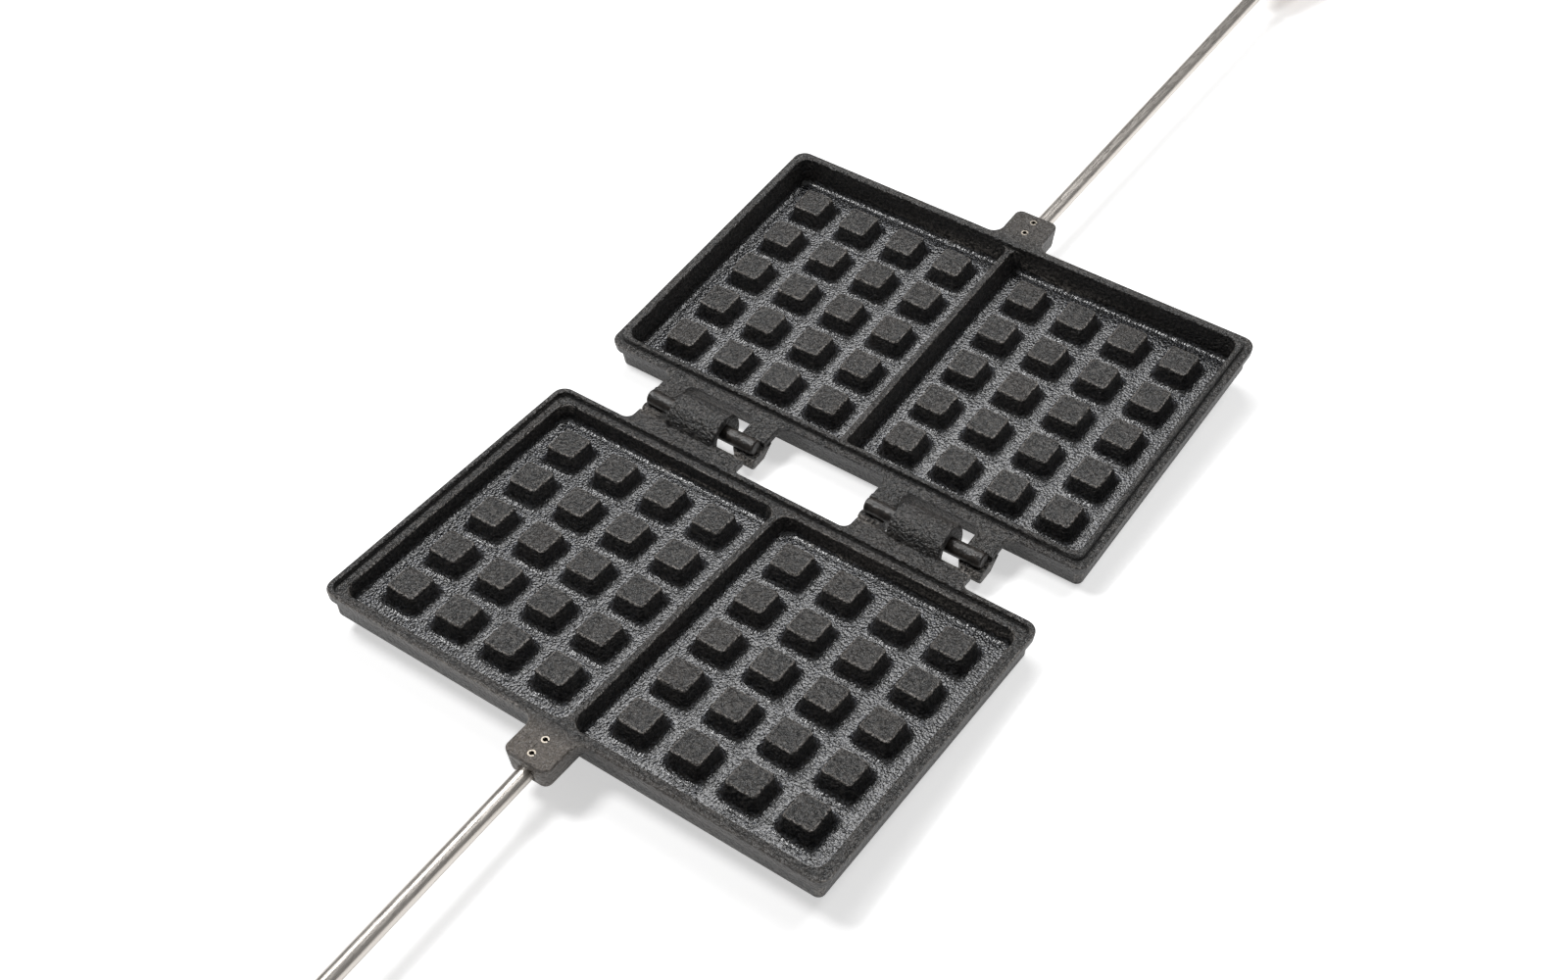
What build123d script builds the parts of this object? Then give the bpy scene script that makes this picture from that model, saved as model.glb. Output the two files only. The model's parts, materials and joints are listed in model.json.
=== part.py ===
from build123d import *
import os
from math import asin, atan2, cos, degrees, hypot, radians, sin, tan

# Stovetop waffle iron: two cast-iron halves on long steel handles. The lower half carries two open hooks,
# and the upper half two round bars that turn in them, so the halves fold face to face and come apart.
#
# Millimetres and degrees. The part's frame has +Z up, X along the hinge, and Y from the lower half (-Y) to
# the upper half (+Y). Its origin is on the ground under the hinge axis. The halves lie hooked and open.
#
# Each half is modelled in a half frame: z = 0 is the parting plane, x = y = 0 is the middle of the plate,
# the hinge side is +Y and the handle side is -Y. place_half() then lays it down in the part's frame.

# --- plates -----------------------------------------------------------------------------------------
PLATE_LENGTH = 240.2          # along the hinge
PLATE_WIDTH = 148.6           # from handle side to hinge side
PLATE_CORNER = 6.0            # outer corner radius in plan
FLANGE_DEPTH = 5.2            # the rim flange, the lugs and the tabs are this thick
FLANGE_DRAFT = 7.0            # how far the flange's side leans in, downwards
FLANGE_LOWER_EDGE = 1.2       # rounding of the flange's lower edge
BODY_INSET = 2.2              # from the flange's outline to the body under it
BODY_TOP = -1.0               # the body's and the boss's solids start inside the flange
BODY_DEPTH = 15.4             # parting plane to the underside
BODY_CORNER = 4.0
BODY_DRAFT = 4.0
BODY_EDGE = 2.0               # rounding of the underside's edge
CAVITY_LENGTH = 228.0
CAVITY_WIDTH = 136.6
CAVITY_CORNER = 5.5
CAVITY_DRAFT = 2.0
CAVITY_FLOOR = -11.4
CAVITY_FOOT = 3.0             # fillet between the floor and the walls
CAVITY_MOUTH = 0.9            # rounding of the pockets' mouths in the lower half

# --- the fit between the rims -----------------------------------------------------------------------
PARTING_GAP = 0.2             # between the closed halves
REBATE_DEPTH = 2.5            # step inside the lower rim
LEDGE_WIDTH_LOWER = 2.5       # from the outer edge to the step
REBATE_CORNER = 4.5
TONGUE_HEIGHT = 2.4           # standing on the upper rim
LEDGE_WIDTH_UPPER = 3.8
TONGUE_CORNER = 4.0
TONGUE_ROOT = 1.0             # how far the tongue runs down into the rim
SOFT_EDGE = 0.8               # rounding of cast edges round the rim

# --- pegs and divider -------------------------------------------------------------------------------
PEG_COLUMNS = 4
PEG_ROWS = 5
PEG_PITCH_X = 25.3
PEG_PITCH_Y = 24.6
PANEL_CENTRE = 57.66          # each panel's middle, from the middle of the plate
PEG_TOP_SIDE = 13.4
PEG_BASE_SIDE = 17.2
PEG_TOP = -2.5                # height of a peg's top
FLOOR_ROOT = 1.0              # how far a peg's solid runs down into the floor
DIVIDER_TOP_WIDTH = 2.7
DIVIDER_DRAFT = 12.0
DIVIDER_EDGE = 0.7            # rounding of the upper half's divider
DIVIDER_CORNER_UPPER = 3.2    # in plan, where the upper half's divider meets the walls

# --- hinge ------------------------------------------------------------------------------------------
HINGE_X = 56.0                # middle of each hook, lug, tab and slot
HINGE_Y = 90.4                # the bars' axis, from the middle of the plate
BAR_DIAMETER = 7.0
BAR_LENGTH = 56.0
BAR_CHAMFER = 0.6
BAR_CLEARANCE = 0.02          # radial, in its seats
LUG_WIDTH = 55.0
LUG_END = 83.4
LUG_FOOT = 3.5                # concave fillet from the rim to a lug or a tab
LUG_CORNER = 1.5
LUG_CROWN_START = 79.9        # from here the lug's top rolls down towards its end
LUG_CROWN_RADIUS = 4.0
HOOK_WIDTH = 25.0
HOOK_CENTRE_Y = 90.0
HOOK_CENTRE_Z = -1.5
HOOK_OUTER_RADIUS = 10.1
HOOK_INNER_RADIUS = 5.8
HOOK_TIP_ANGLE = -16.0        # where the strap ends and its round tip begins, above or below level
HOOK_EDGE = 0.9
TAB_WIDTH = 58.8
SLOT_WIDTH = 35.3
SLOT_START = 76.2
SLOT_CORNER = 3.0
EAR_STEP = 86.6               # the ear's top is level with the rim up to here
EAR_LIP = -2.5                # height of the ear beyond the step
EAR_RAMP = 81.6               # the ear deepens from here to just past the step
EAR_DEEP = 87.6
EAR_END = 96.6
EAR_DEPTH = 8.2               # parting plane to the bottom of the ear under the bar
EAR_NOSE = 2.8                # rounding of the ear's end, seen from the side
EAR_CORNER = 3.4              # chamfer of the ear's inner end, seen from above
EAR_ROOT = 84.6               # the ear's solid starts here, inside the flange's arm
ARM_CORNER = 1.0              # rounding of the flange's arm, hidden in the ear

# --- handle bosses and roll pins --------------------------------------------------------------------
BOSS_WIDTH = 21.4
BOSS_STEP = 0.2               # the deep part of the boss is narrower than its top by this, each side
BOSS_END = -92.7
BOSS_DEPTH = 12.7
BOSS_DRAFT = 6.0
BOSS_FOOT = 5.0               # concave fillet from the rim to the boss
BOSS_CORNER = 3.5
BOSS_EDGE = 3.0               # rounding of the boss's underside
BOSS_ROOT = 6.0               # how far the boss runs in under the rim
SOCKET_END = -76.0            # bottom of the rod's hole
PIN_PLACES = {"inner": -80.3, "outer": -88.0}
PIN_DIAMETER = 3.3
PIN_BORE = 2.0
PIN_SLIT = 0.6
PIN_TOP = -0.1
PIN_CLEARANCE = 0.02          # radial, in boss and rod

# --- rods and grips ---------------------------------------------------------------------------------
ROD_DIAMETER = 7.0
ROD_CLEARANCE = 0.05          # radial, in the boss and in the grip
ROD_DROP = 7.5                # the rod's axis below the parting plane, at the boss's end
ROD_SPLAY = 2.85              # the rod leans away from the parting plane, so that closed grips clear
GRIP_START = 244.0            # from the boss's end, along the rod
GRIP_LENGTH = 118.0
GRIP_NECK = 24.0              # diameters along the grip, from the collar to the butt
GRIP_BELLY = 33.0
GRIP_WAIST = 28.0
GRIP_BUTT = 42.0
GRIP_BELLY_AT = 0.27          # where those diameters are, as shares of the grip's length
GRIP_WAIST_AT = 0.6
GRIP_BUTT_AT = 0.9
GRIP_END_FACE = 22.0          # diameter of the grip's flat end
GRIP_LINE = 0.6               # depth of the two lines turned round the grip's belly
GRIP_LINE_SPACING = 5.0
FERRULE_LENGTH = 16.0
FERRULE_FRONT = 13.0
FERRULE_BACK = 21.0
FERRULE_LIP = 2.5             # length of the plain band at the ferrule's wide end
FERRULE_STEP = 1.2            # from the cone up to that band
FERRULE_EDGE = 0.6
WASHER_DIAMETER = 18.0
WASHER_THICKNESS = 1.6
WASHER_EDGE = 0.3
STUD_DIAMETER = 6.0           # the rod's turned-down outer end
STUD_CLEARANCE = 0.05
STUD_SHOULDER = 1.0           # the full rod ends this far inside the grip
STUD_EDGE = 0.5
ROD_END_ROOM = 0.2            # between the rod and the bottom of its hole
NUT_ACROSS_FLATS = 10.0
NUT_HEIGHT = 5.5              # hexagon only
NUT_DOME_RADIUS = 4.75
NUT_CORNER = 0.7              # chamfer of the hexagon's corners
STUD_END_ROOM = 1.0           # between the stud's end and the bottom of the nut's hole

# --- underside --------------------------------------------------------------------------------------
RING_PITCH = 6.5              # shallow round grooves under each plate
RING_DEPTH = 1.1
RING_WIDTH = 3.6              # at the underside
RING_BOTTOM = 1.4             # at the groove's bottom
RING_FIRST = 32.0             # radius of the innermost groove

# --- modelling allowances ---------------------------------------------------------------------------
OVERCUT = 1.0                 # how far a cutting solid runs past the face that it opens
NEAR = 0.01                   # two places closer than this are the same

# --- worked out from the sizes above ----------------------------------------------------------------
HINGE_Z = PARTING_GAP / 2
HALF_LENGTH = PLATE_LENGTH / 2
HALF_WIDTH = PLATE_WIDTH / 2
BAR_SEAT_RADIUS = BAR_DIAMETER / 2 + BAR_CLEARANCE
SOCKET_DEPTH = (SOCKET_END - BOSS_END) / cos(radians(ROD_SPLAY))
GRIP_END = GRIP_START + GRIP_LENGTH
BUTT_PLACE = GRIP_START + GRIP_BUTT_AT * GRIP_LENGTH


def is_near(value, target):
    """True where a coordinate is at a named place."""
    return abs(value - target) < NEAR


def outline_face(*points):
    """A closed face of straight sides."""
    return make_face(Polyline(*points, close=True))


def bore(radius, length, x, y, z):
    """An upright cylinder, hanging down from z."""
    return Pos(x, y, z - length / 2) * Cylinder(radius, length)


# ----------------------------------------------------------------------------------------------------
# Castings
# ----------------------------------------------------------------------------------------------------

def flange(arm_width, arm_end, arm_corner):
    """The rim flange with its two hinge arms and the top of the handle boss, as one outline."""
    outline = Rectangle(PLATE_LENGTH, PLATE_WIDTH)
    for side in (-1, 1):
        outline += Pos(side * HINGE_X, arm_end / 2) * Rectangle(arm_width, arm_end)
    outline += Pos(0, BOSS_END / 2) * Rectangle(BOSS_WIDTH, -BOSS_END)

    arm_sides = (HINGE_X - arm_width / 2, HINGE_X + arm_width / 2)
    rounds = [((HALF_LENGTH,), HALF_WIDTH, PLATE_CORNER),
              ((HALF_LENGTH,), -HALF_WIDTH, PLATE_CORNER),
              (arm_sides, HALF_WIDTH, LUG_FOOT),
              (arm_sides, arm_end, arm_corner),
              ((BOSS_WIDTH / 2,), -HALF_WIDTH, BOSS_FOOT),
              ((BOSS_WIDTH / 2,), BOSS_END, BOSS_CORNER)]
    for sides, y, radius in rounds:
        row = [v for v in outline.vertices() if is_near(v.Y, y)]
        corners = [v for v in row if any(is_near(abs(v.X), x) for x in sides)]
        outline = fillet(corners, radius)
    shape = extrude(outline, amount=-FLANGE_DEPTH, taper=FLANGE_DRAFT)
    shape = fillet(shape.faces().sort_by(Axis.Z)[0].edges(), FLANGE_LOWER_EDGE)
    return fillet(shape.faces().sort_by(Axis.Z)[-1].edges(), SOFT_EDGE)


def body():
    """The drafted box under the flange, with its underside's edge rounded."""
    top = RectangleRounded(PLATE_LENGTH - 2 * BODY_INSET, PLATE_WIDTH - 2 * BODY_INSET, BODY_CORNER)
    block = extrude(Pos(0, 0, BODY_TOP) * top, amount=-BODY_DEPTH - BODY_TOP, taper=BODY_DRAFT)
    return fillet(block.faces().sort_by(Axis.Z)[0].edges(), BODY_EDGE)


def boss():
    """The deep part of the handle boss, under the flange."""
    length = -BOSS_END - HALF_WIDTH + BOSS_ROOT
    middle = BOSS_END + length / 2
    top = Pos(0, middle, BODY_TOP) * Rectangle(BOSS_WIDTH - 2 * BOSS_STEP, length)
    block = extrude(top, amount=-BOSS_DEPTH - BODY_TOP, taper=BOSS_DRAFT)
    upright = [e for e in block.edges() if abs(e.tangent_at(0.5).Z) > 0.5 and e.center().Y < -HALF_WIDTH]
    block = fillet(upright, BOSS_CORNER)
    return fillet(block.faces().sort_by(Axis.Z)[0].edges(), BOSS_EDGE)


def pocket_outline(length, width, divider_corner):
    """A rectangle about its own middle, whose corners on the divider's side have their own radius."""
    outline = Rectangle(length, width)
    for side, radius in ((-1, divider_corner), (1, CAVITY_CORNER)):
        corners = [v for v in outline.vertices() if is_near(v.X, side * length / 2)]
        outline = fillet(corners, radius)
    return outline


def pocket(divider_top, divider_corner):
    """The space of the panel on the +X side: every wall leans by its own draft, and the foot is rounded."""
    sections = []
    for z in (0, CAVITY_FLOOR):
        near = DIVIDER_TOP_WIDTH / 2 + (divider_top - z) * tan(radians(DIVIDER_DRAFT))
        far = CAVITY_LENGTH / 2 + z * tan(radians(CAVITY_DRAFT))
        width = CAVITY_WIDTH + 2 * z * tan(radians(CAVITY_DRAFT))
        sections.append(Pos((near + far) / 2, 0, z) * pocket_outline(far - near, width, divider_corner))
    space = loft(sections, ruled=True)
    return fillet(space.faces().sort_by(Axis.Z)[0].edges(), CAVITY_FOOT)


def cavity(divider_top, divider_corner):
    """Both panels' pockets: what stands between them is the divider."""
    space = pocket(divider_top, divider_corner)
    return [space, Rot(0, 0, 180) * space]


def peg():
    """One drafted peg, whose foot sinks into the floor."""
    height = PEG_TOP - CAVITY_FLOOR
    draft = degrees(atan2((PEG_BASE_SIDE - PEG_TOP_SIDE) / 2, height))
    foot_side = PEG_BASE_SIDE + 2 * FLOOR_ROOT * tan(radians(draft))
    base = Rectangle(foot_side, foot_side)
    return extrude(Pos(0, 0, CAVITY_FLOOR - FLOOR_ROOT) * base, amount=height + FLOOR_ROOT, taper=draft)


def pegs():
    """Both panels of pegs."""
    one = peg()
    places = []
    for panel in (-1, 1):
        for column in range(PEG_COLUMNS):
            for row in range(PEG_ROWS):
                x = panel * PANEL_CENTRE + (column - (PEG_COLUMNS - 1) / 2) * PEG_PITCH_X
                y = (row - (PEG_ROWS - 1) / 2) * PEG_PITCH_Y
                places.append(Pos(x, y) * one)
    return places


def underside_grooves():
    """Round grooves, all about the middle of the plate, cut up into the underside."""
    rings = []
    radius = RING_FIRST
    while radius < hypot(HALF_LENGTH, HALF_WIDTH):
        half_mouth = RING_WIDTH / 2 + RING_DEPTH
        section = Plane.XZ * outline_face((radius - half_mouth, -BODY_DEPTH - RING_DEPTH),
                                          (radius + half_mouth, -BODY_DEPTH - RING_DEPTH),
                                          (radius + RING_BOTTOM / 2, RING_DEPTH - BODY_DEPTH),
                                          (radius - RING_BOTTOM / 2, RING_DEPTH - BODY_DEPTH))
        rings.append(revolve(section, Axis.Z, 360))
        radius += RING_PITCH
    return rings


def rod_line():
    """A point on the rod's axis at the boss's end, and the frame whose Z runs out along the rod."""
    return Plane(origin=(0, BOSS_END, -ROD_DROP),
                 x_dir=(1, 0, 0),
                 z_dir=(0, -cos(radians(ROD_SPLAY)), -sin(radians(ROD_SPLAY))))


def handle_holes():
    """The rod's hole and the two pin holes."""
    socket = Cylinder(ROD_DIAMETER / 2 + ROD_CLEARANCE, SOCKET_DEPTH + OVERCUT)
    socket = rod_line() * (Pos(0, 0, (OVERCUT - SOCKET_DEPTH) / 2) * socket)
    length = BOSS_DEPTH + 2 * OVERCUT
    holes = [bore(PIN_DIAMETER / 2 + PIN_CLEARANCE, length, 0, y, OVERCUT) for y in PIN_PLACES.values()]
    return [socket] + holes


def common_casting(arm_width, arm_end, arm_corner, divider_top, divider_corner):
    """What the two castings share, before their rims and hinges are made."""
    solid = flange(arm_width, arm_end, arm_corner) + body() + boss()
    return solid.cut(*cavity(divider_top, divider_corner))


def hook():
    """An open hook in the YZ plane: a riser, three quarters of a ring and a round tip."""
    strap = HOOK_OUTER_RADIUS - HOOK_INNER_RADIUS
    middle_radius = (HOOK_OUTER_RADIUS + HOOK_INNER_RADIUS) / 2
    far = 2 * HOOK_OUTER_RADIUS
    tip = radians(HOOK_TIP_ANGLE)
    ring = Circle(HOOK_OUTER_RADIUS) - Circle(HOOK_INNER_RADIUS)
    ring &= outline_face((0, 0), (far * cos(tip), far * sin(tip)), (far, far), (-far, far), (-far, 0))
    ring += Pos(middle_radius * cos(tip), middle_radius * sin(tip)) * Circle(strap / 2)
    riser_height = FLANGE_DEPTH + HOOK_CENTRE_Z
    ring += Pos(-middle_radius, -riser_height / 2) * Rectangle(strap, riser_height)
    section = Plane.YZ * (Pos(HOOK_CENTRE_Y, HOOK_CENTRE_Z) * ring)
    shape = extrude(section, amount=HOOK_WIDTH / 2, both=True)
    sides = [f for f in shape.faces() if is_near(abs(f.center().X), HOOK_WIDTH / 2)]
    rims = [e for f in sides for e in f.edges() if e.center().Z > -FLANGE_DEPTH + NEAR]
    return fillet(rims, HOOK_EDGE)


def lug_crown():
    """What is taken off a lug's far edge to round it."""
    centre = (LUG_CROWN_START, -LUG_CROWN_RADIUS)
    end = LUG_END + OVERCUT
    section = outline_face((LUG_CROWN_START, 0), (LUG_CROWN_START, OVERCUT), (end, OVERCUT),
                           (end, -LUG_CROWN_RADIUS), centre)
    section -= Pos(*centre) * Circle(LUG_CROWN_RADIUS)
    return extrude(Plane.YZ * section, amount=LUG_WIDTH / 2 + LUG_FOOT, both=True)


def is_on_outline(point, height, half_length, half_width):
    """True on a rounded rectangle round the plate's middle, at one height."""
    across = max(abs(point.X) - half_length, abs(point.Y) - half_width)
    return is_near(point.Z, height) and -REBATE_CORNER / 2 < across < NEAR


def is_inside(point, height):
    """True within the cavity's outline, at one height."""
    return is_near(point.Z, height) and abs(point.X) < CAVITY_LENGTH / 2 and abs(point.Y) < CAVITY_WIDTH / 2


def lower_plate():
    casting = common_casting(LUG_WIDTH, LUG_END, LUG_CORNER, PEG_TOP, CAVITY_CORNER)
    half_length = HALF_LENGTH - LEDGE_WIDTH_LOWER
    half_width = HALF_WIDTH - LEDGE_WIDTH_LOWER
    casting -= extrude(RectangleRounded(2 * half_length, 2 * half_width, REBATE_CORNER), amount=-REBATE_DEPTH)
    step = [e for e in casting.edges() if is_on_outline(e.center(), 0, half_length, half_width)]
    casting = fillet(step, SOFT_EDGE)
    mouths = [e for e in casting.edges() if is_inside(e.center(), -REBATE_DEPTH)]
    casting = fillet(mouths, CAVITY_MOUTH)
    casting -= [Pos(side * HINGE_X) * lug_crown() for side in (-1, 1)]
    casting = casting.fuse(*pegs(), *[Pos(side * HINGE_X) * hook() for side in (-1, 1)])
    return casting.cut(*handle_holes(), *underside_grooves())


def ear(width, outer):
    """One ear of a tab: a level top, a seat for the bar and a lower rounded nose beyond it."""
    inside = FLANGE_LOWER_EDGE - FLANGE_DEPTH
    side = outline_face((EAR_ROOT, 0), (EAR_STEP, 0), (EAR_STEP, EAR_LIP), (EAR_END, EAR_LIP),
                        (EAR_END, -EAR_DEPTH), (EAR_DEEP, -EAR_DEPTH), (EAR_RAMP, inside), (EAR_ROOT, inside))
    nose = [v for v in side.vertices() if is_near(v.X, EAR_END)]
    side = fillet(nose, EAR_NOSE)
    block = extrude(Plane.YZ * side, amount=width / 2, both=True)
    plan = Pos(0, (EAR_RAMP + EAR_END) / 2) * Rectangle(width, EAR_END - EAR_RAMP)
    ends = [v for v in plan.vertices() if is_near(v.Y, EAR_END)]
    inner = [v for v in ends if v.X * outer < 0]
    plan = chamfer(inner, EAR_CORNER)
    plan = fillet([v for v in plan.vertices() if v.Y > EAR_END - EAR_CORNER - NEAR], EAR_CORNER / 2)
    block = block & extrude(plan, amount=3 * EAR_DEPTH, both=True)
    return block - Pos(0, HINGE_Y, HINGE_Z) * (Rot(0, 90, 0) * Cylinder(BAR_SEAT_RADIUS, 2 * width))


def upper_plate():
    casting = common_casting(TAB_WIDTH, EAR_STEP, ARM_CORNER, 0, DIVIDER_CORNER_UPPER)
    ridge = [e for e in casting.edges().filter_by(Axis.Y) if is_inside(e.center(), 0)]
    casting = fillet(ridge, DIVIDER_EDGE)
    tongue = RectangleRounded(PLATE_LENGTH - 2 * LEDGE_WIDTH_UPPER, PLATE_WIDTH - 2 * LEDGE_WIDTH_UPPER,
                              TONGUE_CORNER)
    tongue -= RectangleRounded(CAVITY_LENGTH, CAVITY_WIDTH, CAVITY_CORNER)
    tongue = extrude(tongue, amount=TONGUE_HEIGHT)
    tongue = fillet(tongue.faces().sort_by(Axis.Z)[-1].edges(), SOFT_EDGE)
    tongue += extrude(tongue.faces().sort_by(Axis.Z)[0], amount=TONGUE_ROOT)
    slot_end = EAR_STEP + OVERCUT
    slot = Pos(0, (SLOT_START + slot_end) / 2) * Rectangle(SLOT_WIDTH, slot_end - SLOT_START)
    slot = fillet([v for v in slot.vertices() if is_near(v.Y, SLOT_START)], SLOT_CORNER)
    slot = extrude(slot, amount=2 * FLANGE_DEPTH, both=True)
    casting = casting.cut(*[Pos(side * HINGE_X) * slot for side in (-1, 1)])
    ear_width = (TAB_WIDTH - SLOT_WIDTH) / 2
    ears = []
    for side in (-1, 1):
        for end in (-1, 1):
            x = side * HINGE_X + end * (SLOT_WIDTH + ear_width) / 2
            ears.append(Pos(x) * ear(ear_width, end))
    casting = casting.fuse(*pegs(), tongue, *ears)
    return casting.cut(*handle_holes(), *underside_grooves())


# ----------------------------------------------------------------------------------------------------
# Hinge bars, rods, pins and grips
# ----------------------------------------------------------------------------------------------------

def hinge_bar():
    """A plain round bar along X, on the hinge axis."""
    bar = Rot(0, 90, 0) * Cylinder(BAR_DIAMETER / 2, BAR_LENGTH)
    bar = chamfer(bar.edges().filter_by(GeomType.CIRCLE), BAR_CHAMFER)
    return Pos(0, HINGE_Y, HINGE_Z) * bar


def roll_pin(y, slit_side):
    """A slotted spring pin, upright through the boss and the rod."""
    length = BOSS_DEPTH + 2 * PIN_TOP
    cut = length + 2 * OVERCUT
    pin = bore(PIN_DIAMETER / 2, length, 0, y, PIN_TOP) - bore(PIN_BORE / 2, cut, 0, y, PIN_TOP + OVERCUT)
    slit = Pos(slit_side * PIN_DIAMETER / 2, y, PIN_TOP - length / 2) * Box(PIN_DIAMETER, PIN_SLIT, cut)
    return pin - slit


def turned(profile):
    """A solid of revolution about the rod: the profile's points are (radius, place along the rod)."""
    section = Plane.XZ * profile
    return rod_line() * revolve(section, Axis.Z, 360)


def handle_rod():
    """The round rod: it starts in the boss and ends as a stud in the cap nut."""
    radius = ROD_DIAMETER / 2
    stud = STUD_DIAMETER / 2
    start = ROD_END_ROOM - SOCKET_DEPTH
    shoulder = GRIP_END - STUD_SHOULDER
    end = GRIP_END + WASHER_THICKNESS + NUT_HEIGHT + NUT_DOME_RADIUS / 2 - STUD_END_ROOM
    rod = turned(outline_face((0, start), (radius, start), (radius, shoulder), (stud, shoulder),
                              (stud, end - STUD_EDGE), (stud - STUD_EDGE, end), (0, end)))
    holes = [bore(PIN_DIAMETER / 2 + PIN_CLEARANCE, 2 * BOSS_DEPTH, 0, y, BOSS_DEPTH / 2)
             for y in PIN_PLACES.values()]
    return rod.cut(*holes)


def ferrule():
    """The turned collar in front of the grip: a front chamfer, a cone and a plain band."""
    hole = ROD_DIAMETER / 2 + ROD_CLEARANCE
    start = GRIP_START - FERRULE_LENGTH
    lip = GRIP_START - FERRULE_LIP
    front = FERRULE_FRONT / 2
    back = FERRULE_BACK / 2
    neck = back - FERRULE_STEP
    return turned(outline_face((hole, start), (front - FERRULE_EDGE, start), (front, start + FERRULE_EDGE),
                               (neck, lip), (back - FERRULE_EDGE, lip), (back, lip + FERRULE_EDGE),
                               (back, GRIP_START), (hole, GRIP_START)))


def grip():
    """The turned wooden grip, bored for the rod."""
    def at(share):
        return GRIP_START + share * GRIP_LENGTH

    hole = ROD_DIAMETER / 2 + ROD_CLEARANCE
    neck = (GRIP_NECK / 2, at(0))
    butt = (GRIP_BUTT / 2, BUTT_PLACE)
    end_face = (GRIP_END_FACE / 2, GRIP_END)
    side = Spline(neck, (GRIP_BELLY / 2, at(GRIP_BELLY_AT)), (GRIP_WAIST / 2, at(GRIP_WAIST_AT)), butt,
                  tangents=((0.35, 1), (0, 1)))
    cap = Spline(butt, end_face, tangents=((0, 1), (-1, 0)))
    rest = Polyline(end_face, (hole, GRIP_END), (hole, GRIP_START), neck)
    shape = turned(make_face([side, cap, rest]))
    for side_of_belly in (-1, 1):
        place = at(GRIP_BELLY_AT) + side_of_belly * GRIP_LINE_SPACING / 2
        outside = GRIP_BELLY / 2 + GRIP_LINE
        inside = GRIP_BELLY / 2 - GRIP_LINE
        shape -= turned(outline_face((outside, place - 2 * GRIP_LINE), (inside, place),
                                     (outside, place + 2 * GRIP_LINE)))
    return shape


def end_washer():
    """The flat washer under the cap nut."""
    hole = STUD_DIAMETER / 2 + STUD_CLEARANCE
    rim = WASHER_DIAMETER / 2
    end = GRIP_END + WASHER_THICKNESS
    return turned(outline_face((hole, GRIP_END), (rim, GRIP_END), (rim, end - WASHER_EDGE),
                               (rim - WASHER_EDGE, end), (hole, end)))


def cap_nut():
    """A domed hexagon nut on the rod's stud."""
    start = GRIP_END + WASHER_THICKNESS
    top = start + NUT_HEIGHT
    corner = NUT_ACROSS_FLATS / 2 / cos(radians(30))
    chamfered = corner - NUT_CORNER
    hole = STUD_DIAMETER / 2 + STUD_CLEARANCE
    bottom = top + NUT_DOME_RADIUS / 2
    hexagon = RegularPolygon(NUT_ACROSS_FLATS / 2, 6, major_radius=False)
    prism = rod_line() * extrude(Pos(0, 0, start) * hexagon, amount=NUT_HEIGHT)
    prism &= turned(outline_face((0, start), (chamfered, start), (corner, start + NUT_CORNER),
                                 (corner, top - NUT_CORNER), (chamfered, top), (0, top)))
    dome = rod_line() * (Pos(0, 0, top) * Sphere(NUT_DOME_RADIUS))
    above = top + 2 * NUT_DOME_RADIUS
    dome &= turned(outline_face((0, start), (corner, start), (corner, above), (0, above)))
    blind = turned(outline_face((0, start - OVERCUT), (hole, start - OVERCUT), (hole, bottom), (0, bottom)))
    return prism + dome - blind


# ----------------------------------------------------------------------------------------------------
# How a half lies: on the edge of its underside and on the grip's butt
# ----------------------------------------------------------------------------------------------------

def resting_tilt():
    """A half's tilt and the height of the hinge axis, with both supports on the ground."""
    side = BODY_DEPTH + BODY_TOP
    edge_y = HALF_WIDTH - BODY_INSET - side * tan(radians(BODY_DRAFT))
    edge_y -= BODY_EDGE * tan(radians(45 - BODY_DRAFT / 2))
    edge_z = BODY_EDGE - BODY_DEPTH
    butt_y = BOSS_END - BUTT_PLACE * cos(radians(ROD_SPLAY))
    butt_z = -ROD_DROP - BUTT_PLACE * sin(radians(ROD_SPLAY))
    reach = hypot(edge_y - butt_y, edge_z - butt_z)
    tilt = atan2(edge_z - butt_z, edge_y - butt_y) + asin((GRIP_BUTT / 2 - BODY_EDGE) / reach)
    edge_below_hinge = (HINGE_Y - edge_y) * sin(tilt) + (edge_z - HINGE_Z) * cos(tilt)
    return degrees(tilt), BODY_EDGE - edge_below_hinge


TILT, HINGE_HEIGHT = resting_tilt()


def place_half(upper):
    """From a half frame to the part's frame."""
    side = 1 if upper else -1
    turn = Rot(0, 0, 180) if upper else Rot(0, 0, 0)
    return Pos(0, 0, HINGE_HEIGHT) * Rot(side * TILT, 0, 0) * turn * Pos(0, -HINGE_Y, -HINGE_Z)


def handle_pieces(name, slit_side):
    """The rod, its pins and the grip of one half, by node name."""
    pieces = {name + "_handle_rod": handle_rod(),
              name + "_ferrule": ferrule(),
              name + "_grip": grip(),
              name + "_end_washer": end_washer(),
              name + "_cap_nut": cap_nut()}
    for place, y in PIN_PLACES.items():
        pieces[name + "_" + place + "_roll_pin"] = roll_pin(y, slit_side)
    return pieces


def build():
    """Every node of the part, in the part's frame."""
    lower = {"lower_plate": lower_plate()} | handle_pieces("lower", 1)
    upper = {"upper_plate": upper_plate()} | handle_pieces("upper", -1)
    upper["left_hinge_bar"] = Pos(HINGE_X) * hinge_bar()
    upper["right_hinge_bar"] = Pos(-HINGE_X) * hinge_bar()
    nodes = {name: place_half(False) * shape for name, shape in lower.items()}
    nodes |= {name: place_half(True) * shape for name, shape in upper.items()}
    return nodes


def main():
    os.makedirs("parts", exist_ok=True)
    print(f"each half tilts {TILT:.3f} degrees, and the hinge axis is {HINGE_HEIGHT:.3f} mm up")
    for name, shape in build().items():
        solids = shape.solids()
        export_step(Compound(solids) if len(solids) > 1 else solids[0], f"parts/{name}.step")


main()
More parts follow.
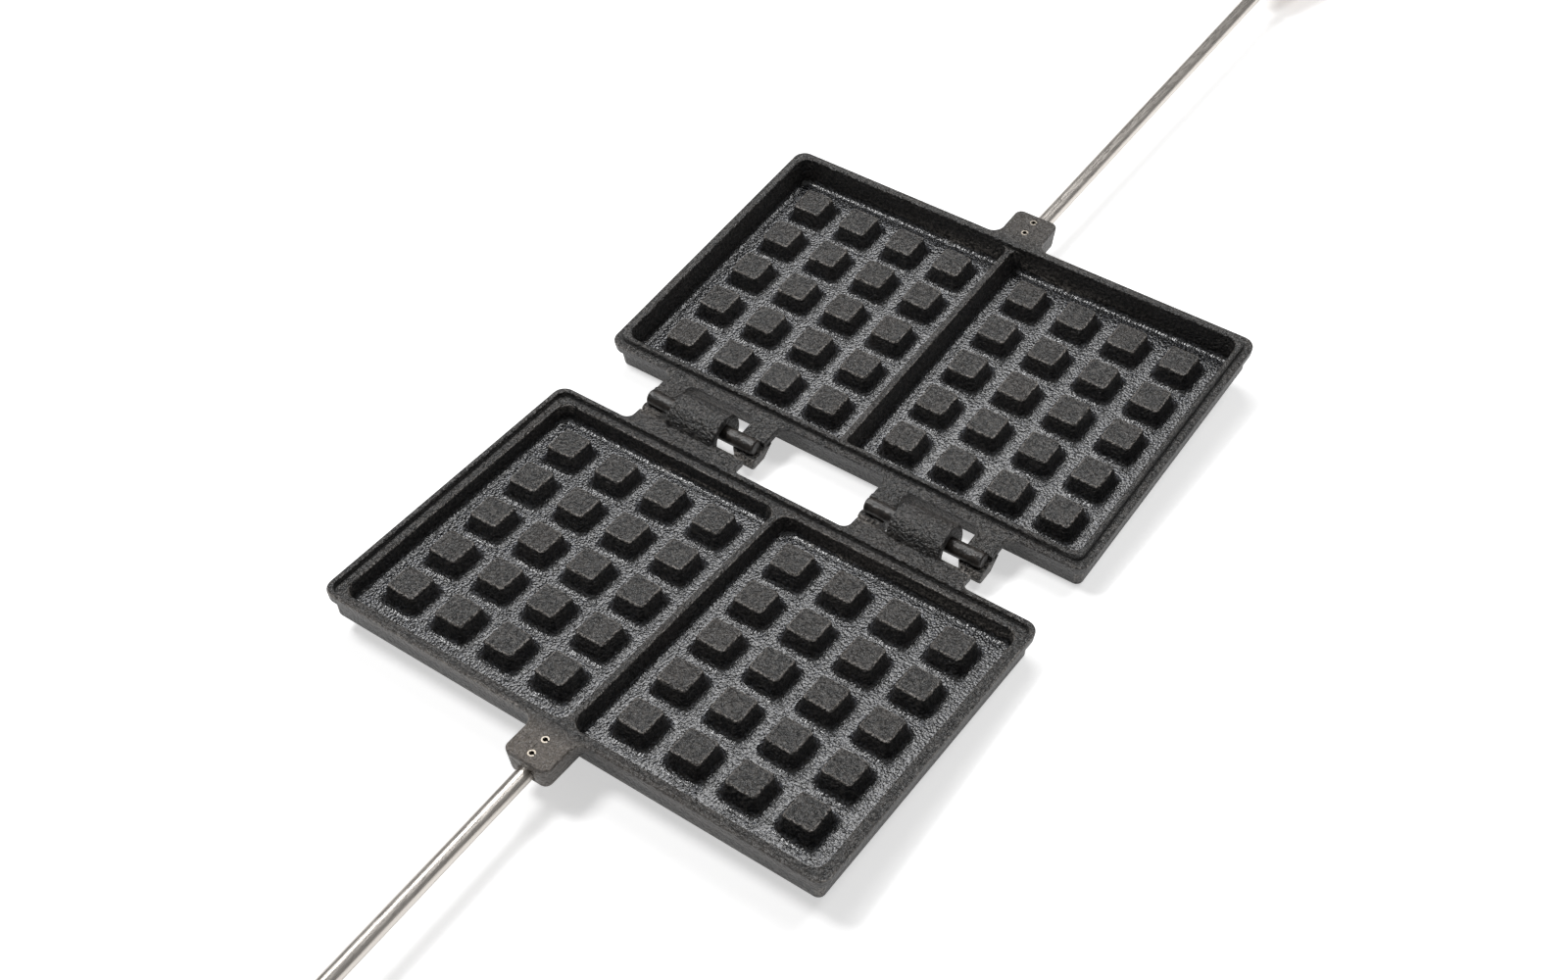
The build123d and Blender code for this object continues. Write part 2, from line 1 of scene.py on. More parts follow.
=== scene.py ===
# %% [markdown]
# # A cast-iron waffle iron, hooked together and lying open
#
# Two black castings lie face up on the table with their long handles pointing away from each other. Two
# hooks on the lower half hold two round bars on the upper half, and the iron folds shut about them.
#
# The imported model is the skeleton: it says where every piece is, and this script moves none of it.
# Blender adds what the skeleton leaves plain: the cast shape of the pegs, and what each surface is made of.

# %% Load the imported model
import json
import math

import bmesh
import bpy
from mathutils import Matrix, Vector


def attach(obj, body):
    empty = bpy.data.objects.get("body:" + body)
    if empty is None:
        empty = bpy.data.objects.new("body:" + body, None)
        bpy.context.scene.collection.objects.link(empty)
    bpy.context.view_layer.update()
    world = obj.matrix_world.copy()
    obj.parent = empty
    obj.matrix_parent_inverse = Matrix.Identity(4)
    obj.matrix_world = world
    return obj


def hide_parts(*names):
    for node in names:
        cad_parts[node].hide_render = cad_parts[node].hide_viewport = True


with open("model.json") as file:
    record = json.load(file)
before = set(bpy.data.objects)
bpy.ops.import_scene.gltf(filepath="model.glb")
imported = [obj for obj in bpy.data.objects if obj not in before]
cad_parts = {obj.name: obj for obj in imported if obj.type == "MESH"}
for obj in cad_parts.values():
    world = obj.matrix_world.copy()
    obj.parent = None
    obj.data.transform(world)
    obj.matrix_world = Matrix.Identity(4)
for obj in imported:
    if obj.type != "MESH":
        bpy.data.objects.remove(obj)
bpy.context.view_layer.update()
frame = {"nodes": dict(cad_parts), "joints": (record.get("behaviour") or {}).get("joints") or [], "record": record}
nodes = frame["nodes"]

# %% [markdown]
# ## The half frame
#
# Both castings come from the same pattern, so they are easiest to work on in one common frame, in
# millimetres: the middle of the plate at x = y = 0, the face where the halves meet at z = 0, the hinge on
# the +Y side. A matrix lays that frame down where a half really lies. Each half leans a few degrees, because
# it rests on the edge of its underside and on the butt of its grip.

# %% Where each half lies
MM = 0.001
HINGE_Y = 90.4                # from the middle of a plate to the axis of the hinge
HINGE_Z = 0.1                 # from the meeting face up to that axis
hinge_height = frame["joints"][0]["pos_m"][2]
resting_face = frame["record"]["mounts"][0]["axis"]
tilt = math.atan2(abs(resting_face[1]), abs(resting_face[2]))


def half_frame(upper):
    """The matrix from a half's own millimetres to the table, in metres."""
    lean = tilt if upper else -tilt
    turn = math.pi if upper else 0.0
    return (Matrix.Translation((0, 0, hinge_height)) @ Matrix.Rotation(lean, 4, "X")
            @ Matrix.Rotation(turn, 4, "Z") @ Matrix.Scale(MM, 4)
            @ Matrix.Translation((0, -HINGE_Y, -HINGE_Z)))


print("each half leans", round(math.degrees(tilt), 2), "degrees; the hinge is",
      round(hinge_height / MM, 2), "mm up")

# %% [markdown]
# ## Small helpers
#
# Colours are written as a web page writes them, and one function turns them into the linear numbers that a
# shader adds up. One function adds a node: it sets the node's properties and fills its inputs, either with
# a value or with a link from another node. The short functions after it are the few nodes that every
# material here is built from: a place to look up, noise, a stretched range, a blend of two colours, a sum,
# bumps, and the shader at the end.

# %% Helpers for colours and nodes
def colour(code):
    """Linear RGBA from a hex code."""
    parts = [int(code[i:i + 2], 16) / 255 for i in (1, 3, 5)]
    linear = [p / 12.92 if p <= 0.04045 else ((p + 0.055) / 1.055) ** 2.4 for p in parts]
    return (*linear, 1.0)


def add(tree, kind, inputs=None, **settings):
    """One node, with its settings and what goes into it."""
    node = tree.nodes.new(kind)
    for name, value in settings.items():
        setattr(node, name, value)
    for key, value in (inputs or {}).items():
        if isinstance(value, bpy.types.NodeSocket):
            tree.links.new(value, node.inputs[key])
        else:
            node.inputs[key].default_value = value
    return node


def place_object(name, data):
    """A new object in the scene, at the origin."""
    thing = bpy.data.objects.new(name, data)
    bpy.context.scene.collection.objects.link(thing)
    return thing


def new_material(name):
    """An empty material and its node tree."""
    material = bpy.data.materials.new(name)
    material.use_nodes = True
    material.node_tree.nodes.clear()
    return material, material.node_tree


def object_place(tree):
    """The point being shaded, in the piece's own metres."""
    return add(tree, "ShaderNodeTexCoord").outputs["Object"]


def noise(tree, place, millimetres, detail=2.0, roughness=0.5, output=0):
    """Soft random bumps, each about this many millimetres long."""
    return add(tree, "ShaderNodeTexNoise",
               {"Vector": place, "Scale": 1 / (millimetres * MM),
                "Detail": detail, "Roughness": roughness}).outputs[output]


def spread(tree, value, low, high, to_low=0.0, to_high=1.0):
    """Stretches the values from `low` to `high` over the new range and stops at its ends."""
    return add(tree, "ShaderNodeMapRange",
               {"Value": value, "From Min": low, "From Max": high,
                "To Min": to_low, "To Max": to_high}).outputs[0]


def blend(tree, factor, first, second):
    """The first colour where the factor is 0, and the second where it is 1."""
    return add(tree, "ShaderNodeMix", {"Factor": factor, "A": first, "B": second},
               data_type="RGBA").outputs["Result"]


def maths(tree, operation, *values):
    """One sum on up to three values."""
    return add(tree, "ShaderNodeMath", dict(enumerate(values)), operation=operation).outputs[0]


def bump(tree, height, strength, depth):
    """Normals that follow a height, whose full rise is `depth` millimetres."""
    return add(tree, "ShaderNodeBump",
               {"Height": height, "Strength": strength, "Distance": depth * MM}).outputs[0]


def surface(tree, **inputs):
    """The shader and the output, which end every material."""
    named = {name.replace("_", " "): value for name, value in inputs.items()}
    shader = add(tree, "ShaderNodeBsdfPrincipled", named).outputs[0]
    add(tree, "ShaderNodeOutputMaterial", {"Surface": shader})


print("a mid grey of #808080 is", round(colour("#808080")[0], 3), "of white")

# %% [markdown]
# ## Seasoned cast iron
#
# The castings are grey iron, poured in sand, so the surface is pebbly. Oil baked on in thin coats turns it black.
# Where oil pools, on the cavity floors and at the feet of the pegs, the coat is thicker and glossier, and its
# grains are painted light as glints. On the rims and the tops of the pegs it is drier and greyer, with a breath of
# rust, and edges that rub against other pans are lighter, partly from rubbing and partly as a painted highlight.
#
# The castings' meshes carry four painted values, made further down. The floor value is 1 on the floors, where the
# oil lies and where the grains get painted glints. The edge value is 1 along edges, which are painted lighter,
# partly for rubbing and partly as a painted highlight. The step value is 1 in the corner of the step round each
# rim, which is painted black and dull as painted shade for the shadow in that corner. The boss value grows towards
# the handle bosses, where the coat has burnt off and the iron has turned brown-grey; it is stronger on the lower
# half, where it also paints in the brighter light on that boss. Everything finer comes from noise, whose scale is
# set in real millimetres. Noise stays mostly between 0.3 and 0.7, so the narrower the range that is spread out,
# the crisper the grains.
#
# Real grains are about half a millimetre wide. The pattern is drawn coarser than that, at one millimetre on
# the oiled floors and at 1.6 on the dry iron, so that it shows at arm's length.

# %% Seasoned cast iron
PAINTED = ("oil_pool", "worn_edge", "handled", "soot")
PEBBLE = 1.1                  # millimetres across
FLOOR_GRAIN = 1.0
DRY_GRAIN = 1.6
RUST_PATCH = 30
WARP_PATCH = 3.0              # neighbouring pebbles are pushed about in patches of this size

iron, tree = new_material("seasoned_cast_iron")
place = object_place(tree)
oil_and_glint_mask, worn_and_highlit, handled, soot = (add(tree, "ShaderNodeAttribute", attribute_name=name).outputs["Fac"]
                             for name in PAINTED)
warp = noise(tree, place, WARP_PATCH, output="Color")
jostled = add(tree, "ShaderNodeVectorMath", {0: warp, 1: (MM, MM, MM), 2: place},
              operation="MULTIPLY_ADD").outputs[0]
pebbles = add(tree, "ShaderNodeTexVoronoi",
              {"Vector": jostled, "Scale": 1 / (PEBBLE * MM)}).outputs["Distance"]
grit = noise(tree, place, FLOOR_GRAIN, roughness=0.6)
sand = noise(tree, place, DRY_GRAIN, roughness=0.6)
cloud = noise(tree, place, RUST_PATCH, detail=4.0, roughness=0.6)
print("patterns:", len(tree.nodes), "nodes")

# %% [markdown]
# The colour is laid on in this order: dry iron with grains, rust in patches, bare brown iron by the handles, which
# on the lower half also paints in the brighter light there, oil on the floors with painted glints on its grains,
# chips on the edges that are also a painted highlight, and last a painted shade at the foot of each step.

# %% Colour, gloss and grain of the iron
ROUGH_DRY, ROUGH_OILED = 0.44, 0.2
BUMP_DRY, BUMP_OILED = 1.0, 0.5
GRIT_SHARE = 0.7              # how much each pattern lifts the surface, next to the pebbles
SAND_SHARE = 3.4              # on the dry iron only
GRAIN_DEPTH = 0.4             # millimetres

dry = blend(tree, spread(tree, sand, 0.45, 0.62), colour("#020202"), colour("#3b3835"))
rust = spread(tree, cloud, 0.5, 0.8, 0.0, 0.35)
dry = blend(tree, rust, dry, colour("#30241b"))
bare = spread(tree, grit, 0.40, 0.60, 0.55, 1.0)
# Bare brown-grey iron by the handle bosses; stronger on the lower half, where it also paints in the brighter light
# on that boss.
dry = blend(tree, maths(tree, "MULTIPLY", bare, handled), dry, colour("#6d655d"))
# Painted glints: on the oiled floors the grains are painted light grey, in place of light glancing off them.
oil_with_painted_glints = blend(tree, spread(tree, grit, 0.50, 0.62), colour("#050506"), colour("#4c4e53"))
skin = blend(tree, oil_and_glint_mask, dry, oil_with_painted_glints)
# Lighter edges: partly rubbed iron and partly a painted highlight along the rounded edges.
chips_and_highlight = spread(tree, grit, 0.42, 0.58, 0.0, 0.8)
skin = blend(tree, maths(tree, "MULTIPLY", chips_and_highlight, worn_and_highlit), skin, colour("#8c8680"))
# Painted shade: near black and matt at the foot of each rim's step, where the corner lies in shadow.
skin = blend(tree, soot, skin, colour("#010101"))

roughness = maths(tree, "MAXIMUM", spread(tree, oil_and_glint_mask, 0.0, 1.0, ROUGH_DRY, ROUGH_OILED), soot)
domes = maths(tree, "MULTIPLY", pebbles, -1.0)
height = maths(tree, "MULTIPLY_ADD", grit, GRIT_SHARE, domes)
sand_share = spread(tree, oil_and_glint_mask, 0.0, 1.0, SAND_SHARE, 0.0)
height = maths(tree, "MULTIPLY_ADD", sand, sand_share, height)
strength = spread(tree, oil_and_glint_mask, 0.0, 1.0, BUMP_DRY, BUMP_OILED)
surface(tree, Base_Color=skin, Roughness=roughness, IOR=1.65,
        Normal=bump(tree, height, strength, GRAIN_DEPTH))
print("cast iron:", len(tree.nodes), "nodes")

# %% [markdown]
# ## Steel and nickel
#
# The handle rods are drawn stainless steel, polished along their length, so the scratches are hundreds of
# times as long as they are wide and the reflections stretch into bands. Each half has its own rod steel,
# turned to the line on which that handle lies. The pins are duller spring steel, and the fittings at the
# grips are nickel plated.

# %% Steels
SCRATCH_DEPTH = 0.02          # millimetres
ROD_SPLAY = 2.85              # degrees between a rod and the face of its plate
ROD_STEEL = {"code": "#d2ccc5", "roughness": 0.28, "scratch": 0.8, "along": 800.0}


def along_handle(tree, lean, squeeze):
    """A place turned to a line that leans by `lean` degrees and squeezed along that line."""
    level = add(tree, "ShaderNodeMapping",
                {"Vector": object_place(tree), "Rotation": (math.radians(lean), 0.0, 0.0)}).outputs[0]
    return add(tree, "ShaderNodeMapping", {"Vector": level, "Scale": (1.0, squeeze, 1.0)}).outputs[0]


def steel(name, code, roughness, scratch, along=1.0, lean=0.0):
    """A metal whose scratches are `scratch` mm wide and `along` times as long."""
    metal, tree = new_material(name)
    lines = noise(tree, along_handle(tree, lean, 1.0 / along), scratch, detail=3.0, roughness=0.6)
    tint = blend(tree, spread(tree, lines, 0.3, 0.7, 0.86, 1.0), colour("#000000"), colour(code))
    sheen = spread(tree, lines, 0.3, 0.7, roughness * 0.8, roughness * 1.3)
    surface(tree, Base_Color=tint, Metallic=1.0, Roughness=sheen,
            Normal=bump(tree, lines, 0.1, SCRATCH_DEPTH))
    return metal


handle_lean = math.degrees(tilt) + ROD_SPLAY
rod_steel = {"lower": steel("drawn_stainless_steel_lower", lean=-handle_lean, **ROD_STEEL),
             "upper": steel("drawn_stainless_steel_upper", lean=handle_lean, **ROD_STEEL)}
spring_steel = steel("spring_steel", "#8f887e", 0.34, 0.5)
nickel = steel("nickel_plate", "#c9c1b4", 0.2, 1.2)
print("handles lean", round(handle_lean, 2), "degrees; rods:", [m.name for m in rod_steel.values()])

# %% [markdown]
# The hinge bars are plain mild steel that has been through the same baking as the castings: dark, slightly
# brown, and dented by handling, so they are dimpled rather than polished.

# %% Hinge bar steel
BAR_DENT = 2.6                # millimetres across
BAR_DENT_DEPTH = 0.9

bar_steel, tree = new_material("blackened_bar_steel")
dents = noise(tree, object_place(tree), BAR_DENT, detail=3.0, roughness=0.6)
skin = blend(tree, spread(tree, dents, 0.38, 0.62), colour("#110e0c"), colour("#2e2823"))
surface(tree, Base_Color=skin, Roughness=0.36, Normal=bump(tree, dents, 0.6, BAR_DENT_DEPTH))
print("hinge bars:", bar_steel.name)

# %% [markdown]
# ## Turned wood
#
# The grips are turned from beech and oiled, so the grain runs along the handle. Each grip lies along its own
# line, and a Mapping node turns the pattern to that line. Beech has short darker flecks between its growth
# rings. Real rings are a few millimetres apart. They are drawn about two centimetres apart, so that they
# show at arm's length.

# %% Turned beech, once for each half
RING_SCALE = 15.625           # at which the wave texture repeats every 20 mm
RING_WANDER = 0.012           # metres by which the rings wander
WANDER_PATCH = 16             # millimetres
FLECK = 0.7
GRAIN_SQUEEZE = 0.09          # grain and flecks are eleven times as long as they are wide
PORE_DEPTH = -0.05            # millimetres, downwards


def turned_beech(name, lean):
    """Oiled beech whose grain follows a handle that leans by `lean` degrees."""
    wood, tree = new_material(name)
    stretched = along_handle(tree, lean, GRAIN_SQUEEZE)
    wander = noise(tree, stretched, WANDER_PATCH, detail=3.0, output="Color")
    bent = add(tree, "ShaderNodeVectorMath", {0: wander, 1: (RING_WANDER,) * 3, 2: stretched},
               operation="MULTIPLY_ADD").outputs[0]
    rings = add(tree, "ShaderNodeTexWave",
                {"Vector": bent, "Scale": RING_SCALE, "Distortion": 1.5, "Detail": 2.0},
                wave_type="BANDS", bands_direction="X").outputs["Fac"]
    flecks = spread(tree, noise(tree, stretched, FLECK), 0.52, 0.7)
    grain = blend(tree, rings, colour("#a3703f"), colour("#bf8a55"))
    grain = blend(tree, flecks, grain, colour("#7c4f2a"))
    surface(tree, Base_Color=grain, Roughness=0.42, IOR=1.5,
            Normal=bump(tree, flecks, 0.3, PORE_DEPTH))
    return wood


beech = {"lower": turned_beech("oiled_beech_lower", -handle_lean),
         "upper": turned_beech("oiled_beech_upper", handle_lean)}
print("wood:", [m.name for m in beech.values()])

# %% [markdown]
# ## One peg
#
# A peg is cast in one with the plate: sides that lean in so that the waffle comes off, soft corners, and a
# flare where it meets the floor. It is a stack of rounded squares, one above another, and the flare and the
# top edge are arcs of nearly a quarter turn, so a short loop works out each square's half width and height.
# Oil with its painted glints, and rubbing with a painted highlight on the top edge, are painted here too, because
# the loop knows which square is an edge and which is the foot.

# %% The shape of one peg
PEG_TOP_SIDE = 13.4           # millimetres, before the edges are rounded
PEG_BASE_SIDE = 17.2
PEG_TOP = -2.5                # heights are measured from the face where the halves meet
CAVITY_FLOOR = -11.4
FLARE_RADIUS = 3.0
TOP_EDGE_RADIUS = 1.1
PLAN_CENTRE = 5.2             # the corner arcs are centred this far out from the peg's middle
LEAST_CORNER = 0.12
ARC_STEPS = 5
OIL_LOST = 0.6                # how much of the oil is gone at the top of the flare
DISH = (0.6, 0.03)            # the top sinks by a hair: the dish's share of the side, and its depth

peg_height = PEG_TOP - CAVITY_FLOOR
lean_in = math.atan2((PEG_BASE_SIDE - PEG_TOP_SIDE) / 2, peg_height)
arc = math.pi / 2 - lean_in
reach = math.tan(arc / 2)


def peg_squares():
    """(half width, height, oil and glints, rubbing and highlight) of each square, from the foot of the flare to
    the top.
    """
    foot = PEG_BASE_SIDE / 2 + FLARE_RADIUS * reach
    squares = []
    for step in range(ARC_STEPS + 1):
        a = arc * step / ARC_STEPS
        squares.append((foot - FLARE_RADIUS * math.sin(a), FLARE_RADIUS * (1 - math.cos(a)),
                        1 - OIL_LOST * step / ARC_STEPS, 0.0))
    crown = PEG_TOP_SIDE / 2 - TOP_EDGE_RADIUS * reach
    below = peg_height - TOP_EDGE_RADIUS
    for step in range(ARC_STEPS + 1):
        a = arc * (1 - step / ARC_STEPS)
        edge = math.sin(math.pi * step / ARC_STEPS)
        squares.append((crown + TOP_EDGE_RADIUS * math.sin(a),
                        below + TOP_EDGE_RADIUS * math.cos(a), 0.0, edge))
    squares.append((crown * DISH[0], peg_height - DISH[1], 0.0, 0.0))
    return squares


def rounded_square(half, corner_steps=5):
    """Points round a square whose corners are arcs about fixed centres."""
    radius = max(half - PLAN_CENTRE, LEAST_CORNER)
    centre = half - radius
    points = []
    for quarter in range(4):
        for step in range(corner_steps + 1):
            a = math.pi / 2 * (quarter + step / corner_steps)
            x = centre * (1 if quarter in (0, 3) else -1) + radius * math.cos(a)
            y = centre * (1 if quarter in (0, 1) else -1) + radius * math.sin(a)
            points.append((x, y))
    return points


def one_peg():
    """A mesh object of one peg, standing on z = 0, open below."""
    made = bmesh.new()
    oil = made.verts.layers.float.new("oil_pool")
    edge_wear_and_highlight = made.verts.layers.float.new("worn_edge")
    rings = []
    for half, up, oiled, edge in peg_squares():
        ring = [made.verts.new((x, y, up)) for x, y in rounded_square(half)]
        for v in ring:
            v[oil] = oiled
            v[edge_wear_and_highlight] = edge
        rings.append(ring)
    for lower_ring, upper_ring in zip(rings, rings[1:]):
        for i in range(len(lower_ring)):
            j = (i + 1) % len(lower_ring)
            made.faces.new((lower_ring[i], lower_ring[j], upper_ring[j], upper_ring[i]))
    made.faces.new(rings[-1])
    mesh = bpy.data.meshes.new("one_peg")
    made.to_mesh(mesh)
    made.free()
    return place_object("one_peg", mesh)


peg_pattern = one_peg()
print("one peg:", len(peg_pattern.data.polygons), "faces; its foot is",
      round(2 * peg_squares()[0][0], 2), "mm wide")

# %% [markdown]
# ## Forty pegs on a plate
#
# The pegs repeat on a grid, four by five in each of two panels, which is work for Geometry Nodes. The grid's
# counts, pitches and place are named inputs. Each peg gets a turn and a size that differ by a hair, from a
# fixed seed, because a sand mould is never perfect. Realize Instances makes real mesh of them, and the
# evaluated result is kept as a plain mesh.

# %% The tree that plants the pegs
TURN = 0.014                  # radians either way
SIZES = ((0.982, 0.982, 0.99), (1.012, 1.012, 1.008))
SIZE_SEED = 7.0               # added to the seed, so that turns and sizes are drawn apart
PEG_FIELD_INPUTS = {"Peg": "Object", "Columns": "Int", "Rows": "Int", "Column Pitch": "Float",
                    "Row Pitch": "Float", "Panel Centre": "Float", "Floor": "Float", "Seed": "Int",
                    "Finish": "Material"}


def peg_field_tree():
    """A node group: two grids of points, and one peg on each point."""
    group = bpy.data.node_groups.new("peg_field", "GeometryNodeTree")
    face = group.interface
    face.new_socket("Geometry", in_out="OUTPUT", socket_type="NodeSocketGeometry")
    for name, kind in PEG_FIELD_INPUTS.items():
        face.new_socket(name, in_out="INPUT", socket_type="NodeSocket" + kind)
    given = add(group, "NodeGroupInput").outputs
    spans = []
    for count, pitch in (("Columns", "Column Pitch"), ("Rows", "Row Pitch")):
        gaps = maths(group, "SUBTRACT", given[count], 1.0)
        spans.append(maths(group, "MULTIPLY", gaps, given[pitch]))
    grid = add(group, "GeometryNodeMeshGrid",
               {"Size X": spans[0], "Size Y": spans[1], "Vertices X": given["Columns"],
                "Vertices Y": given["Rows"]}).outputs["Mesh"]
    panels = add(group, "GeometryNodeJoinGeometry")
    for side in (-1.0, 1.0):
        across = maths(group, "MULTIPLY", given["Panel Centre"], side)
        offset = add(group, "ShaderNodeCombineXYZ", {"X": across, "Z": given["Floor"]}).outputs[0]
        panel = add(group, "GeometryNodeTransform",
                    {"Geometry": grid, "Translation": offset}).outputs[0]
        group.links.new(panel, panels.inputs[0])
    peg = add(group, "GeometryNodeObjectInfo", {"Object": given["Peg"]}).outputs["Geometry"]
    turn = add(group, "FunctionNodeRandomValue",
               {0: (0.0, 0.0, -TURN), 1: (0.0, 0.0, TURN), "Seed": given["Seed"]},
               data_type="FLOAT_VECTOR").outputs[0]
    seed = maths(group, "ADD", given["Seed"], SIZE_SEED)
    size = add(group, "FunctionNodeRandomValue", {0: SIZES[0], 1: SIZES[1], "Seed": seed},
               data_type="FLOAT_VECTOR").outputs[0]
    planted = add(group, "GeometryNodeInstanceOnPoints",
                  {"Points": panels.outputs[0], "Instance": peg,
                   "Rotation": turn, "Scale": size}).outputs[0]
    real = add(group, "GeometryNodeRealizeInstances", {"Geometry": planted}).outputs[0]
    finished = add(group, "GeometryNodeSetMaterial",
                   {"Geometry": real, "Material": given["Finish"]}).outputs[0]
    add(group, "NodeGroupOutput", {"Geometry": finished})
    return group


peg_field = peg_field_tree()
print("peg field:", len(peg_field.nodes), "nodes")

# %% Evaluate it for one half
COLUMNS, ROWS = 4, 5          # in each panel
COLUMN_PITCH = 25.3
ROW_PITCH = 24.6
PANEL_CENTRE = 57.66
LOWER_SEED, UPPER_SEED = 3, 11


def field_of_pegs(seed):
    """A plain mesh of a plate's forty pegs, in the half frame."""
    host = place_object("peg_host", bpy.data.meshes.new("peg_host"))
    modifier = host.modifiers.new("pegs", "NODES")
    modifier.node_group = peg_field
    given = {"Peg": peg_pattern, "Columns": COLUMNS, "Rows": ROWS, "Column Pitch": COLUMN_PITCH,
             "Row Pitch": ROW_PITCH, "Panel Centre": PANEL_CENTRE, "Floor": CAVITY_FLOOR,
             "Seed": seed, "Finish": iron}
    for item in peg_field.interface.items_tree:
        if item.in_out == "INPUT":
            modifier[item.identifier] = given[item.name]
    graph = bpy.context.evaluated_depsgraph_get()
    mesh = bpy.data.meshes.new_from_object(host.evaluated_get(graph), depsgraph=graph)
    bpy.data.objects.remove(host)
    return mesh


lower_pegs = field_of_pegs(LOWER_SEED)
upper_pegs = field_of_pegs(UPPER_SEED)
print("pegs:", len(lower_pegs.polygons), "faces on each plate")

# %% [markdown]
# ## The castings
#
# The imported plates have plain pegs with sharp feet. A copy of each plate is welded (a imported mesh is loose
# triangles), the plain pegs and the flat floors are cut out, the cast pegs are set in, and the floors are
# filled again between the walls and the feet of the pegs, so each casting is one closed skin.
#
# First come the tests that tell one part of a welded plate from another, in the half frame.

# %% Which part of the plate is it?
COLUMN_PLACES = [side * PANEL_CENTRE + (i - (COLUMNS - 1) / 2) * COLUMN_PITCH
                 for side in (-1, 1) for i in range(COLUMNS)]
ROW_PLACES = [(i - (ROWS - 1) / 2) * ROW_PITCH for i in range(ROWS)]
CAVITY_HALF = (114.0, 68.3)   # half the length and width of both pockets together
NEAR = 0.05                   # millimetres by which a corner may miss its place
LEVEL = 0.02                  # and by which a flat may miss its height


def in_a_peg(point):
    """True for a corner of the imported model's plain pegs, foot included."""
    near_x = min(abs(point.x - x) for x in COLUMN_PLACES) < PEG_BASE_SIDE / 2 + NEAR
    near_y = min(abs(point.y - y) for y in ROW_PLACES) < PEG_BASE_SIDE / 2 + NEAR
    return near_x and near_y and CAVITY_FLOOR - NEAR < point.z < PEG_TOP + NEAR


def in_a_pocket(point):
    """True for a point between the walls, seen from above."""
    return abs(point.x) < CAVITY_HALF[0] and abs(point.y) < CAVITY_HALF[1]


def on_floor(point):
    """True for a point of the cavity's flat floor."""
    return in_a_pocket(point) and abs(point.z - CAVITY_FLOOR) < LEVEL


def off_outline(point, half_length, half_width, corner):
    """How far a point lies outside a rounded rectangle, seen from above."""
    x = abs(point.x) - half_length + corner
    y = abs(point.y) - half_width + corner
    if min(x, y) > 0:
        return math.hypot(x, y) - corner
    return max(x, y) - corner


print("pegs stand at x", [round(x, 2) for x in COLUMN_PLACES], "and y", ROW_PLACES)

# %% [markdown]
# Then the paint. The values sit on the corners of the mesh and fade from one corner to the next. To keep the
# painted shade close to the foot of the step, where that corner lies in shadow, the flat beside it is first cut
# along a line just under a millimetre away, which changes no shape.

# %% Paint
OIL_TOP = -8.0                # the oil thins out up the wall and ends at this height
OIL_FADE = 3.0
# Edges are painted lighter, partly for rubbing and partly as a painted highlight:
WORN_AND_HIGHLIT_BEND = math.radians(12)  # edges that bend more than this are worn,
FACING_UP = 0.98              # unless they bound a flat whose normal points up by more than this
BOSS_START = -72.0            # y at which the handle boss begins
BURN_FADE = 8.0
# Share of bare brown-grey at each boss; the lower one's larger share also paints in the brighter light falling on
# it.
BOSS_BARE_AND_LIT = {"lower_plate": 0.8, "upper_plate": 0.3}
# The step round each rim: height of its foot, half length, half width, corner radius, and whether the flat
# beside the foot lies inside it (-1) or outside it (1).
STEPS = {"lower_plate": (-2.5, 117.6, 71.8, 4.5, -1), "upper_plate": (0.0, 116.3, 70.5, 4.0, 1)}
STEP_SHADE_REACH = 0.9
TOUCH = 0.001                 # corners this close to the cut count as on it


def clip(value):
    """The value, kept between 0 and 1."""
    return min(max(value, 0.0), 1.0)


def paint(casting, burnt):
    """Paints oil with painted glints in the pockets, rubbing with a painted highlight along the convex edges, and
    the browned handle boss, which on the lower half also paints in its light.
    """
    oil, edge_wear_and_highlight, handled = (casting.verts.layers.float[name] for name in PAINTED[:3])
    casting.normal_update()
    for v in casting.verts:
        if in_a_pocket(v.co) and v.co.z > CAVITY_FLOOR - NEAR:
            v[oil] = clip((OIL_TOP - v.co.z) / OIL_FADE)
        bend = max([e.calc_face_angle_signed(0.0) for e in v.link_edges], default=0.0)
        on_a_flat = any(f.normal.z > FACING_UP for f in v.link_faces)
        if bend > WORN_AND_HIGHLIT_BEND and not on_a_flat:
            v[edge_wear_and_highlight] = 1.0
        v[handled] = burnt * clip((BOSS_START - v.co.y) / BURN_FADE)


def paint_shade_at_step_foot(casting, level, half_length, half_width, corner, side):
    """Paints dark, dull shade in the corner at the foot of the step, where it lies in shadow."""
    soot = casting.verts.layers.float["soot"]
    for axis, half in (("x", half_length), ("y", half_width)):
        for end in (-1, 1):
            line = Vector((0, 0, level))
            setattr(line, axis, end * (half + side * STEP_SHADE_REACH))
            across = Vector((axis == "x", axis == "y", 0))
            flat = [f for f in casting.faces if all(abs(v.co.z - level) < LEVEL for v in f.verts)]
            parts = list(dict.fromkeys(g for f in flat for g in (*f.verts, *f.edges)))
            bmesh.ops.bisect_plane(casting, geom=flat + parts, plane_co=line, plane_no=across,
                                   dist=TOUCH)
    for v in casting.verts:
        off = off_outline(v.co, half_length, half_width, corner)
        if abs(v.co.z - level) < LEVEL and abs(off) < NEAR:
            v[soot] = 1.0


print("burnt at the boss:", BOSS_BARE_AND_LIT)

# %% Cut, plant and fill
WELD = 0.002                  # millimetres
SHARP_ANGLE = math.radians(38)


